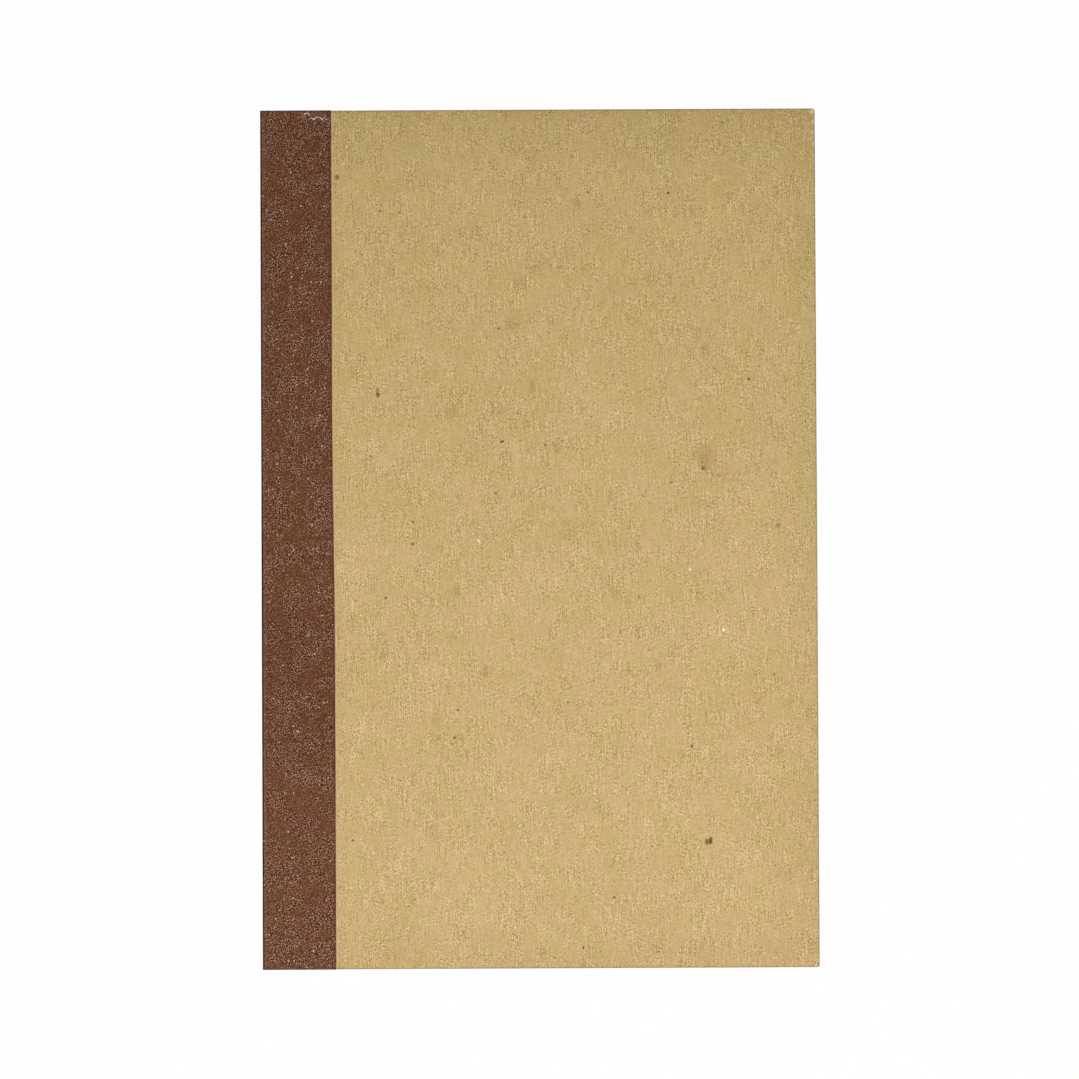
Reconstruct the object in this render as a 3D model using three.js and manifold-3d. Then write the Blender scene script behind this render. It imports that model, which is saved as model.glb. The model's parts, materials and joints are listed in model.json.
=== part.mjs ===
// A tape-bound watercolour pad, closed, lying on its back board: +Z up, spine on the -X side,
// head of the pad towards +Y. The origin is the middle of the outline on the surface below.
import * as THREE from "three";
import { mergeVertices } from "three/addons/utils/BufferGeometryUtils.js";
import Module from "manifold-3d";

const wasm = await Module();
wasm.setup();

// Driving dimensions, in millimetres
const padWidth = 139.7; // spine to fore edge
const padLength = 215.9; // head to tail
const sheetCount = 12;
const sheetCaliper = 0.5; // cold-press paper of 300 g/m2
const coverCaliper = 0.9; // front cover, thin chipboard
const backCaliper = 1.25; // back board, stiff chipboard
const tapeCaliper = 0.25; // embossed binding tape
const tapeFlapWidth = 17.8; // tape on each face of the pad, measured from the spine
const glueThickness = 0.25; // padding glue brushed over the spine
const spineEdgeRound = 0.1; // board edge crushed by the tape pulled over it
const cornerWear = 0.6; // radius worn onto the free corners of the boards
const layerGap = 0.02; // air between two faces that lie on each other
const hingeStandoff = 0.03; // hinge line outside the tape, so that the cover folds clear of it
const foldSteps = 8; // facets of the tape's quarter turn
const cornerSteps = 4; // facets of a worn corner

// Levels and lines that follow from them
const spineFace = -padWidth / 2;
const foreEdge = padWidth / 2;
const tapeInside = spineFace + tapeCaliper;
const glueOutside = tapeInside + layerGap;
const glueInside = glueOutside + glueThickness;
const blockEdge = glueInside + layerGap;
const foldInside = glueThickness + 2 * layerGap + spineEdgeRound;
const foldOutside = foldInside + tapeCaliper;
const backBottom = tapeCaliper + layerGap;
const backTop = backBottom + backCaliper;
const leafPitch = sheetCaliper + layerGap;
const blockTop = backTop + sheetCount * leafPitch;
const coverBottom = blockTop + layerGap;
const coverTop = coverBottom + coverCaliper;
const padTop = coverTop + layerGap + tapeCaliper;
const creaseLevel = blockTop + layerGap / 2;
const hinge = new THREE.Vector3(spineFace - hingeStandoff, 0, creaseLevel);

const finishes = {
  kraftBoard: { color: "#c6ab76", roughness: 0.9, metalness: 0 },
  greyBoard: { color: "#b9a179", roughness: 0.92, metalness: 0 },
  paper: { color: "#f1ede2", roughness: 0.95, metalness: 0 },
  tape: { color: "#6e4a36", roughness: 0.6, metalness: 0 },
  glue: { color: "#e4e0d2", roughness: 0.4, metalness: 0 },
};

// A named piece in its own material.
function piece(name, geometry, finish) {
  const mesh = new THREE.Mesh(geometry, new THREE.MeshStandardMaterial(finishes[finish]));
  mesh.name = name;
  return mesh;
}

// A flat sheet of the pad's plan, from the block edge to the fore edge, between two levels.
function planSolid(bottom, top, wear) {
  const half = padLength / 2;
  const plan = new THREE.Shape();
  plan.moveTo(blockEdge, -half);
  if (wear > 0) {
    plan.absarc(foreEdge - wear, -half + wear, wear, -Math.PI / 2, 0, false);
    plan.absarc(foreEdge - wear, half - wear, wear, 0, Math.PI / 2, false);
  } else {
    plan.lineTo(foreEdge, -half);
    plan.lineTo(foreEdge, half);
  }
  plan.lineTo(blockEdge, half);
  plan.closePath();
  const options = { depth: top - bottom, bevelEnabled: false, curveSegments: cornerSteps };
  return new THREE.ExtrudeGeometry(plan, options).translate(0, 0, bottom);
}

// A cross-section of the spine, drawn in X and Z, run from the tail of the pad to its head.
function spineSolid(section, steps) {
  const options = { depth: padLength, bevelEnabled: false, curveSegments: steps };
  const solid = new THREE.ExtrudeGeometry(section, options);
  return solid.rotateX(Math.PI / 2).translate(0, padLength / 2, 0);
}

// The same section turned over, for the pieces that wrap the back board.
function mirrored(points, level) {
  return points.map((p) => new THREE.Vector2(p.x, level - p.y)).reverse();
}

// Points of a quarter turn about a centre, from pointing at the spine to pointing up.
function quarterTurn(x, z, radius) {
  const arc = new THREE.ArcCurve(x, z, radius, Math.PI, Math.PI / 2, true);
  return arc.getPoints(foldSteps);
}

// The tape over a board's edge: up the spine from one level, round the fold and onto the face.
function tapeSection(from, top) {
  const x = spineFace + foldOutside;
  const z = top - foldOutside;
  return [
    new THREE.Vector2(tapeInside, from),
    new THREE.Vector2(spineFace, from),
    ...quarterTurn(x, z, foldOutside),
    new THREE.Vector2(spineFace + tapeFlapWidth, top),
    new THREE.Vector2(spineFace + tapeFlapWidth, top - tapeCaliper),
    ...quarterTurn(x, z, foldInside).reverse(),
  ];
}

// The glue film under the tape: its outer corner follows the inside of the fold.
function glueCorner(top) {
  const x = spineFace + foldOutside;
  const z = top - foldOutside;
  const radius = foldInside - layerGap;
  const inner = Math.acos((x - glueInside) / radius);
  const arc = new THREE.ArcCurve(x, z, radius, Math.PI, Math.PI - inner, true);
  return arc.getPoints(foldSteps);
}

function manifoldOf(geometry) {
  const bare = new THREE.BufferGeometry();
  bare.setAttribute("position", geometry.getAttribute("position"));
  if (geometry.index) bare.setIndex(geometry.index);
  const merged = mergeVertices(bare, 1e-4);
  const triVerts = new Uint32Array(merged.index.array);
  const vertProperties = merged.attributes.position.array;
  return new wasm.Manifold(new wasm.Mesh({ numProp: 3, vertProperties, triVerts }));
}

function geometryOf(solid) {
  const { vertProperties, triVerts } = solid.getMesh();
  const made = new THREE.BufferGeometry();
  made.setAttribute("position", new THREE.BufferAttribute(vertProperties, 3));
  made.setIndex(new THREE.BufferAttribute(triVerts, 1));
  made.computeVertexNormals();
  return made;
}

// A board: the plan with its worn corners, cut to a section whose outer edge at the spine is
// rounded off. outerIsTop says which face carries the tape.
function boardSolid(bottom, top, outerIsTop) {
  const round = quarterTurn(blockEdge + spineEdgeRound, top - spineEdgeRound, spineEdgeRound);
  const upper = [
    new THREE.Vector2(blockEdge, bottom),
    ...round,
    new THREE.Vector2(foreEdge, top),
    new THREE.Vector2(foreEdge, bottom),
  ];
  const outline = outerIsTop ? upper : mirrored(upper, bottom + top);
  const section = spineSolid(new THREE.Shape(outline), foldSteps);
  const plan = planSolid(bottom, top, cornerWear);
  return geometryOf(manifoldOf(plan).intersect(manifoldOf(section)));
}

// A group that turns about the hinge line, along the crease of the tape: a rotation by -angle
// about Y opens what it carries.
function hinged(name) {
  const pivot = new THREE.Group();
  pivot.name = name;
  pivot.position.copy(hinge);
  return pivot;
}

function frontCover() {
  const pivot = hinged("front_cover");
  const tape = new THREE.Shape(tapeSection(creaseLevel + layerGap / 2, padTop));
  const film = new THREE.Shape([
    new THREE.Vector2(glueInside, coverBottom),
    new THREE.Vector2(glueOutside, coverBottom),
    ...glueCorner(padTop),
  ]);
  pivot.attach(piece("front_cover_board", boardSolid(coverBottom, coverTop, true), "kraftBoard"));
  pivot.attach(piece("front_tape", spineSolid(tape, foldSteps), "tape"));
  pivot.attach(piece("cover_edge_glue", spineSolid(film, foldSteps), "glue"));
  return pivot;
}

function leaf(number) {
  const pivot = hinged("leaf_" + number);
  const top = blockTop - (number - 1) * leafPitch;
  const name = "sheet_" + String(number).padStart(2, "0");
  pivot.attach(piece(name, planSolid(top - sheetCaliper, top, 0), "paper"));
  return pivot;
}

function backAndSpine() {
  const fixed = new THREE.Group();
  const tape = tapeSection(-creaseLevel + layerGap / 2, 0);
  const film = [
    new THREE.Vector2(glueInside, -blockTop),
    new THREE.Vector2(glueOutside, -blockTop),
    ...glueCorner(0),
  ];
  const tapeShape = new THREE.Shape(mirrored(tape, 0));
  const filmShape = new THREE.Shape(mirrored(film, 0));
  fixed.add(piece("back_board", boardSolid(backBottom, backTop, false), "greyBoard"));
  fixed.add(piece("spine_tape", spineSolid(tapeShape, foldSteps), "tape"));
  fixed.add(piece("spine_glue", spineSolid(filmShape, foldSteps), "glue"));
  return fixed;
}

const pad = new THREE.Group();
pad.name = "watercolour_pad";
pad.add(backAndSpine());
pad.add(frontCover());
for (let number = 1; number <= sheetCount; number += 1) pad.add(leaf(number));

export default pad;
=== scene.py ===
"""A tape-bound watercolour pad with chipboard covers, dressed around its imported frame."""

import json
import logging
import math
from collections.abc import Callable
from dataclasses import dataclass
from enum import Enum
from functools import cached_property, partial, reduce

import bmesh
import bpy
from mathutils import Euler, Matrix, Vector, noise


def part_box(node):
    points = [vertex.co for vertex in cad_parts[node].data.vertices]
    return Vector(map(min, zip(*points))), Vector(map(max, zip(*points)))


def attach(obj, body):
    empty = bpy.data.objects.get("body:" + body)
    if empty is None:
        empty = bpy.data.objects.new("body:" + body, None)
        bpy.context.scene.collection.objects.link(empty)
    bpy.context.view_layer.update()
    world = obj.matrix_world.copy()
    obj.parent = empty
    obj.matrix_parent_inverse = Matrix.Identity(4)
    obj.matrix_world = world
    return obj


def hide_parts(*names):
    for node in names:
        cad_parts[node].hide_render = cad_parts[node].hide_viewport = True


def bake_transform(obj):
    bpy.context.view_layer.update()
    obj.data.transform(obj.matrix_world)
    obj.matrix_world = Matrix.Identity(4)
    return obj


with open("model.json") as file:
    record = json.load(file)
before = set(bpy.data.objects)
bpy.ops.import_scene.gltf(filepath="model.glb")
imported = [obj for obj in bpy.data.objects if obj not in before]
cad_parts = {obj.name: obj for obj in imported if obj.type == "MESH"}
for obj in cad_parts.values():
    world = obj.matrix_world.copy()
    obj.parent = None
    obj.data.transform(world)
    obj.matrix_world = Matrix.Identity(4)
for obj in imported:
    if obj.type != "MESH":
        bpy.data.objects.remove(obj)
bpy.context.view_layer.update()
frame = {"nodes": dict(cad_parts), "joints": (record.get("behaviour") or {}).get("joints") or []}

LOG = logging.getLogger("pad")
MM = 0.001
HAIR = 1e-6  # a length in metres that is too short to matter
CUT_SLACK = 1e-7  # how near to a vertex a cut goes through it, in metres
REST_PLACE = "rest_place"  # where a point lay before the pad was opened, for patterns to follow
FACE_DEPTH = 0.35 * MM  # how far the marks on a face reach down its edge
SHARP_DEG = 50.0  # faces that meet at more than this keep a sharp edge between them
SOFT = 1.4  # the softness of a faint stain or pale patch
WHITE = (1.0, 1.0, 1.0, 1.0)

Colour = tuple[float, float, float, float]
Outputs = bpy.types.NodeOutputs
Shape = bmesh.types.BMesh
Socket = bpy.types.NodeSocket
Sprinkle = tuple[float, float, float]  # the spacing and radius of specks, and the share of places with one


class Slot(Enum):
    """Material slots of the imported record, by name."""

    KRAFT_BOARD = "kraft_board"
    BACK_BOARD = "back_board"
    PAPER = "paper"
    BINDING_TAPE = "binding_tape"


class Body(Enum):
    """Bodies that a piece can ride on, apart from the leaves."""

    SPINE = "spine_and_back"
    COVER = "front_cover"


def srgb(*channels: int) -> Colour:
    """The linear values of a colour whose channels are given as on a screen, from 0 to 255."""
    shares = (channel / 255 for channel in channels)
    return (*(s / 12.92 if s <= 0.04045 else ((s + 0.055) / 1.055) ** 2.4 for s in shares), 1.0)


@dataclass(frozen=True)
class PhotoPlan:
    """Where the photograph shows the face of the pad, so that its marks get their real places."""

    centre_px: tuple[float, float] = (539.35, 538.15)
    mm_per_px: float = 0.2513
    turn_deg: float = 0.265  # the pad lies turned this far to the left in the picture
    width_px: int = 1079

    def place(self, x_px: float, y_px: float) -> Vector:
        """The point of the pad's plan under a pixel.

        Args:
            x_px: Pixels from the left of the picture.
            y_px: Pixels from the top of the picture.

        Returns:
            The point in metres, at no height.
        """
        across = (x_px - self.centre_px[0]) * self.mm_per_px * MM
        up = (self.centre_px[1] - y_px) * self.mm_per_px * MM
        point = Vector((across, up, 0.0))
        point.rotate(Euler((0.0, 0.0, -math.radians(self.turn_deg))))
        return point


PHOTO = PhotoPlan()


@dataclass(frozen=True)
class Plan:
    """The outline of a flat piece as seen from above, and the height of its upper face."""

    centre: Vector
    half_size: Vector
    face_z: float

    @classmethod
    def of(cls, node: str) -> "Plan":
        """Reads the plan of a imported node.

        Args:
            node: The node's name.

        Returns:
            Its plan.
        """
        low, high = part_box(node)
        centre = Vector(((low.x + high.x) / 2, 0.0, 0.0))
        return cls(centre, Vector(((high.x - low.x) / 2, high.y, 1.0)), high.z)


def title(name: str) -> str:
    """The title of a group's socket for a value's name."""
    return name.replace("_", " ").capitalize()


class Sketch:
    """Adds nodes to one node tree and wires them up."""

    def __init__(self, tree: bpy.types.NodeTree) -> None:
        """Keeps the tree that the nodes go into."""
        self.tree = tree

    def add(
        self, kind: str, fed: dict[str | int, object] | None = None, **settings: object
    ) -> bpy.types.Node:
        """Adds a node.

        Args:
            kind: The node's Blender type.
            fed: What its inputs take, by their name or number.
            settings: Values for the node's own properties.

        Returns:
            The new node.
        """
        node = self.tree.nodes.new(kind)
        for name, value in settings.items():
            setattr(node, name, value)
        for key, value in (fed or {}).items():
            self.feed(node.inputs[key], value)
        return node

    def feed(self, socket: Socket, value: object) -> None:
        """Joins a socket to another one, or sets it to a plain value.

        Args:
            socket: The input to feed.
            value: The other socket, or the value.
        """
        if isinstance(value, bpy.types.NodeSocket):
            self.tree.links.new(value, socket)
        else:
            socket.default_value = value

    def math(self, operation: str, first: object, second: object = 0.0) -> Socket:
        """One sum, product or other operation on two numbers."""
        return self.add("ShaderNodeMath", {0: first, 1: second}, operation=operation).outputs[0]

    def product(self, first: object, second: object) -> Socket:
        """The product of two numbers."""
        return self.math("MULTIPLY", first, second)

    def total(self, first: object, *others: object) -> Socket:
        """The sum of several numbers."""
        return reduce(partial(self.math, "ADD"), others, first)

    def swing(self, value: object, weight: object) -> Socket:
        """A value's distance from its middle of 0.5, times a weight."""
        return self.product(self.math("SUBTRACT", value, 0.5), weight)

    def vector(self, operation: str, first: object, second: object = (0.0, 0.0, 0.0)) -> Socket:
        """One operation on two vectors, with a vector as its result."""
        return self.add("ShaderNodeVectorMath", {0: first, 1: second}, operation=operation).outputs[0]

    def turned(self, vector: Socket, angle: Socket) -> Socket:
        """A vector turned about Z."""
        fed = {"Vector": vector, "Angle": angle}
        return self.add("ShaderNodeVectorRotate", fed, rotation_type="Z_AXIS").outputs[0]

    def split(self, vector: Socket) -> tuple[Socket, ...]:
        """A vector's X, Y and Z."""
        return tuple(self.add("ShaderNodeSeparateXYZ", {0: vector}).outputs)

    def ease(self, value: object, start: object, end: object, low: float = 0.0, high: float = 1.0) -> Socket:
        """A smooth step from low to high as the value goes from start to end."""
        fed = dict(enumerate((value, start, end, low, high)))
        return self.add("ShaderNodeMapRange", fed, interpolation_type="SMOOTHSTEP").outputs[0]

    def band(self, value: Socket, start: float, full_from: float, full_to: float, end: float) -> Socket:
        """1 between two values and 0 outside start and end, eased."""
        return self.product(self.ease(value, start, full_from), self.ease(value, end, full_to))

    def noise(self, place: object, scale: object, detail: object, distortion: float = 0.0) -> Outputs:
        """The outputs of a noise by name."""
        fed = {"Vector": place, "Scale": scale, "Detail": detail, "Distortion": distortion}
        return self.add("ShaderNodeTexNoise", fed).outputs

    def cells(self, place: Socket, scale: object) -> Outputs:
        """The outputs of a pattern of cells by name."""
        return self.add("ShaderNodeTexVoronoi", {"Vector": place, "Scale": scale}, feature="F1").outputs

    def mix(self, share: object, first: object, second: object, blend: str = "MIX") -> Socket:
        """Two colours mixed by a share."""
        fed = {0: share, 6: first, 7: second}  # the numbers of the node's colour sockets
        return self.add("ShaderNodeMix", fed, data_type="RGBA", blend_type=blend).outputs[2]

    def tinted(self, colour: object, tint: object) -> Socket:
        """A colour multiplied by a tint."""
        return self.mix(1.0, colour, tint, blend="MULTIPLY")

    def group(self, tree: bpy.types.NodeTree, **values: object) -> Socket:
        """Places a node group, feeds its inputs by name, with _ for a space, and gives its output."""
        fed = {title(name): value for name, value in values.items()}
        return self.add("ShaderNodeGroup", fed, node_tree=tree).outputs[0]


class EffectGroup:
    """A shader node group with named inputs and one output."""

    def __init__(self, name: str, output: str, **inputs: float | None) -> None:
        """Makes the group's sockets.

        Args:
            name: The group's name.
            output: The name of the value that it gives.
            inputs: Default values by name, with _ for a space, or None for a vector.
        """
        self.tree = bpy.data.node_groups.new(name, "ShaderNodeTree")
        for label, value in inputs.items():
            kind = "NodeSocketVector" if value is None else "NodeSocketFloat"
            socket = self.tree.interface.new_socket(title(label), in_out="INPUT", socket_type=kind)
            if value is not None:
                socket.default_value = value
        self.tree.interface.new_socket(output, in_out="OUTPUT", socket_type="NodeSocketFloat")
        self.nodes = Sketch(self.tree)
        self.given = dict(zip(inputs, self.nodes.add("NodeGroupInput").outputs))

    def give(self, value: Socket) -> bpy.types.NodeTree:
        """Feeds the group's output and hands over its tree."""
        self.nodes.add("NodeGroupOutput", {0: value})
        return self.tree


class Effects:
    """The node groups that the finishes share, each built once."""

    off_axes: tuple[float, float, float] = (0.5, 0.3, 0.65)  # a turn that hides a noise's square cells

    def __init__(self) -> None:
        """Builds every group."""
        self.fibres = self._fibres()
        self.mottle = self._mottle()
        self.specks = self._specks()
        self.outline = self._outline()
        self.mark = self._mark()

    @staticmethod
    def _fibres() -> bpy.types.NodeTree:
        """Short fibres that lie one way: a noise drawn out along them.

        Returns:
            The group's tree.
        """
        made = EffectGroup("fibre grain", "Value", vector=None, width=0.0003, length=0.001, slant=0.0)
        nodes, given = made.nodes, made.given
        size = nodes.add("ShaderNodeCombineXYZ", {0: given["width"], 1: given["length"], 2: given["width"]})
        drawn = nodes.vector("DIVIDE", nodes.turned(given["vector"], given["slant"]), size.outputs[0])
        return made.give(nodes.noise(drawn, scale=1.0, detail=1.5, distortion=0.4)["Fac"])

    def _mottle(self) -> bpy.types.NodeTree:
        """Soft clouds of a given size.

        Returns:
            The group's tree.
        """
        made = EffectGroup("mottle", "Value", vector=None, size=0.01, detail=2.0)
        nodes, given = made.nodes, made.given
        fed = {"Vector": given["vector"], "Rotation": self.off_axes}
        turn = nodes.add("ShaderNodeVectorRotate", fed, rotation_type="EULER_XYZ")
        scale = nodes.math("DIVIDE", 1.0, given["size"])
        return made.give(nodes.noise(turn.outputs[0], scale, given["detail"])["Fac"])

    @staticmethod
    def _specks() -> bpy.types.NodeTree:
        """Sparse round specks of uneven size, one at most in each cell of a given spacing.

        Returns:
            The group's tree.
        """
        made = EffectGroup("specks", "Mask", vector=None, spacing=0.004, radius=0.0002, share=0.5)
        nodes, given = made.nodes, made.given
        cells = nodes.cells(given["vector"], nodes.math("DIVIDE", 1.0, given["spacing"]))
        lot = nodes.add("ShaderNodeSeparateColor", {0: cells["Color"]}).outputs
        reach = nodes.product(cells["Distance"], given["spacing"])
        radius = nodes.product(given["radius"], nodes.math("ADD", 0.45, lot["Green"]))
        spot = nodes.ease(nodes.math("DIVIDE", reach, radius), 0.55, 1.15, 1.0, 0.0)
        return made.give(nodes.product(spot, nodes.math("LESS_THAN", lot["Red"], given["share"])))

    @staticmethod
    def _outline() -> bpy.types.NodeTree:
        """A band along the outline of a plan, uneven in width, that covers the cut sides too.

        Returns:
            The group's tree.
        """
        made = EffectGroup("outline band", "Mask", vector=None, centre=None, half_size=None, width=0.0004)
        nodes, given = made.nodes, made.given
        offset = nodes.vector("ABSOLUTE", nodes.vector("SUBTRACT", given["vector"], given["centre"]))
        from_side, from_end, _ = nodes.split(nodes.vector("SUBTRACT", given["half_size"], offset))
        ragged = nodes.noise(given["vector"], scale=700.0, detail=3.0)["Fac"]
        reach = nodes.product(given["width"], nodes.product(ragged, 2.0))
        return made.give(nodes.ease(nodes.math("MINIMUM", from_side, from_end), 0.0, reach, 1.0, 0.0))

    @staticmethod
    def _mark() -> bpy.types.NodeTree:
        """One spot at a given place: an ellipse whose edge is made uneven by a shared noise.

        Returns:
            The group's tree.
        """
        made = EffectGroup(
            "mark", "Mask", vector=None, centre=None, half_size=None,
            uneven=0.5, slant=0.0, softness=0.5, strength=1.0,
        )
        nodes, given = made.nodes, made.given
        offset = nodes.vector("SUBTRACT", given["vector"], given["centre"])
        shape = nodes.vector("DIVIDE", nodes.turned(offset, given["slant"]), given["half_size"])
        reach = nodes.add("ShaderNodeVectorMath", {0: shape}, operation="LENGTH").outputs["Value"]
        distance = nodes.math("ADD", reach, nodes.swing(given["uneven"], 0.8))
        spot = nodes.ease(distance, 0.6, nodes.math("ADD", 1.0, given["softness"]), 1.0, 0.0)
        return made.give(nodes.product(spot, given["strength"]))


EFFECTS = Effects()


@dataclass(frozen=True)
class Inks:
    """The colours that flecks are painted with."""

    dark: Colour
    stain: Colour
    light: Colour


@dataclass(frozen=True)
class Fleck:
    """A fibre bundle, stain, lint spot or scratch that the photograph shows.

    Sizes are in pixels of the photograph, and tone runs from -1, darkest, to 1, lightest.
    """

    x_px: float
    y_px: float
    wide_px: float
    long_px: float
    tone: float
    slant_deg: float = 0.0
    softness: float = 0.4

    def ink(self, inks: Inks) -> Colour:
        """The colour that it is painted with: a dark one with a soft edge is a stain."""
        dark = inks.stain if self.softness > 1 else inks.dark
        return inks.light if self.tone > 0 else dark


# The rows give the fields of each fleck in their order, from the lowest fleck to the uppermost
COVER_FLECKS = tuple(Fleck(*row) for row in (
    (706.8, 841.2, 5.4, 7.2, -0.74),
    (710.3, 840.3, 4.2, 8.0, -0.95),
    (377.3, 389.5, 3.2, 4.2, -0.65),
    (377.6, 394.5, 4.0, 6.5, -0.84),
    (336.6, 176.8, 4.4, 4.8, -0.68, 0.0, 0.8),
    (704.5, 464.0, 8.0, 13.0, -0.26, 0.0, SOFT),
    (707.3, 453.0, 15.0, 16.0, -0.17, 0.0, SOFT),
    (703.3, 468.0, 4.0, 5.0, -0.62),
    (485.1, 671.7, 7.0, 10.5, -0.24, 18.0, SOFT),
    (577.6, 203.3, 6.0, 7.0, -0.28, 0.0, SOFT),
    (532.2, 386.0, 4.2, 9.5, -0.24, 8.0, SOFT),
    (384.2, 655.2, 6.2, 6.2, -0.24, 0.0, SOFT),
    (453.6, 410.8, 8.0, 13.5, -0.24, 38.0, SOFT),
    (557.0, 448.3, 5.8, 7.0, -0.26, 0.0, SOFT),
    (512.0, 324.5, 11.5, 8.5, -0.16, 0.0, SOFT),
    (456.5, 592.0, 6.5, 9.5, -0.19, 0.0, SOFT),
    (613.6, 590.9, 8.0, 8.0, -0.17, 0.0, SOFT),
    (705.5, 350.8, 8.5, 10.0, -0.18, 0.0, SOFT),
    (434.5, 833.0, 9.5, 14.0, -0.15, 0.0, SOFT),
    (437.0, 721.0, 7.5, 13.0, -0.15, 0.0, SOFT),
    (475.0, 229.5, 9.0, 11.0, -0.15, 0.0, SOFT),
    (516.5, 456.5, 5.5, 18.0, 0.10, -6.0, SOFT),
    (448.5, 363.5, 8.0, 10.0, 0.08, 0.0, SOFT),
    (777.7, 525.7, 5.4, 5.4, -0.42),
    (502.3, 441.5, 5.2, 2.1, -1.0, -18.0),
    (455.0, 737.5, 3.8, 3.2, -0.78),
    (691.7, 746.0, 3.0, 3.0, -0.85),
    (583.3, 946.7, 2.8, 3.8, -0.75),
    (412.7, 544.0, 4.2, 3.2, -0.78),
    (385.7, 597.7, 3.2, 3.2, -0.66),
    (614.3, 896.7, 3.0, 2.6, -0.85),
    (775.0, 865.0, 2.8, 2.4, -0.60),
    (774.0, 674.5, 2.4, 5.0, -0.45),
    (668.3, 192.7, 2.8, 2.8, -1.0),
    (588.3, 191.7, 3.6, 3.4, -0.45),
    (749.3, 379.0, 3.1, 3.1, -1.0),
    (498.3, 328.3, 2.8, 2.8, -0.65),
    (722.7, 121.7, 2.8, 2.8, -0.65),
    (399.0, 212.0, 2.8, 2.8, -0.65),
    (380.0, 210.7, 2.6, 2.6, -0.75),
    (671.0, 482.0, 3.6, 3.8, -0.38),
    (496.0, 493.0, 2.7, 2.7, -0.80),
    (371.0, 457.0, 2.6, 2.8, -0.45),
    (545.0, 445.0, 2.6, 2.6, -0.80),
    (413.0, 522.0, 2.6, 2.8, -0.85),
    (458.0, 710.0, 2.6, 2.6, -0.85),
    (568.0, 702.0, 2.5, 2.5, -0.80),
    (353.0, 840.0, 2.4, 3.0, -0.85),
    (639.0, 597.0, 2.6, 2.8, -0.75),
    (723.6, 629.7, 3.5, 3.5, 1.0),
    (478.8, 540.9, 2.1, 5.0, 0.85, -38.0),
    (690.0, 569.5, 2.8, 4.0, 0.85),
    (813.6, 110.3, 5.6, 5.2, 0.45, 0.0, 0.9),
    (813.2, 121.0, 1.8, 6.0, 0.40),
    (812.8, 132.0, 1.6, 6.0, 0.34),
    (813.6, 143.0, 1.6, 5.0, 0.38),
    (819.2, 965.0, 3.0, 6.0, -0.55),
    (815.6, 964.4, 2.6, 2.6, 0.60),
    (817.4, 959.6, 1.8, 3.4, 0.45),
))

# Where the tape's embossed skin is gone at the head, and the pale lip of the tear
TORN_SKIN = tuple(Fleck(*row) for row in (
    (317.5, 114.0, 21.0, 6.0, -0.8, 0.0, 0.1),
    (304.3, 113.4, 3.4, 1.3, 0.7, -42.0),
    (306.6, 112.6, 3.6, 1.3, 0.95, 0.0),
    (308.7, 114.2, 1.2, 2.8, 0.7, -15.0),
    (311.4, 117.6, 4.0, 1.2, 0.7, 22.0),
    (313.6, 118.3, 2.2, 1.7, 1.0),
    (315.2, 117.2, 3.6, 1.2, 0.75, -34.0),
    (317.8, 116.5, 3.6, 1.2, 0.5, 4.0),
    (320.1, 117.4, 3.4, 1.2, 0.75, 40.0),
    (321.4, 118.6, 1.8, 1.5, 0.8),
    (322.8, 117.6, 2.8, 1.2, 0.5, -40.0),
    (325.6, 118.6, 4.2, 1.2, 0.45, 28.0),
))


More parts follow.
